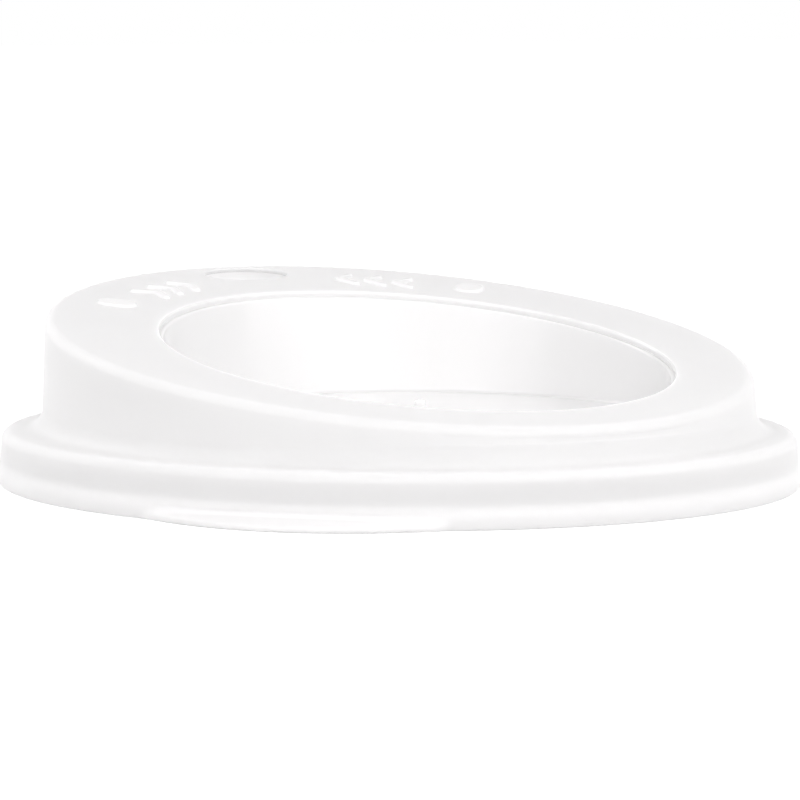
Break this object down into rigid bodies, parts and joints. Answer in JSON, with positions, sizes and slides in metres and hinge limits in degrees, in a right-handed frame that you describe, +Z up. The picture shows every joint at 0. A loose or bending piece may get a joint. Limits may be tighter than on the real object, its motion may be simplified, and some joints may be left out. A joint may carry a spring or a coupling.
{
  "type": "takeaway coffee cup lid",
  "caption": "Drink-through cup lid: a low dome with a slanted ring-shaped top, an oval sip hole, a round sunken centre, a push-on skirt and a small lift tab.",
  "frame": {"origin": "centre of the skirt's bottom edge, on the plane that the lid stands on", "axes": "+Z up, out of the cup; +Y towards the drinking side, which is the dome's high side; +X completes a right-handed frame, and the lift tab lies at -137 degrees from +X"},
  "size_m": [0.0932, 0.0932, 0.0223],
  "materials": {
    "white_plastic": "white moulded polypropylene: satin outside, glossy in the recess"
  },
  "bodies": {
    "root": {"lid": "white_plastic"}
  },
  "joints": []
}
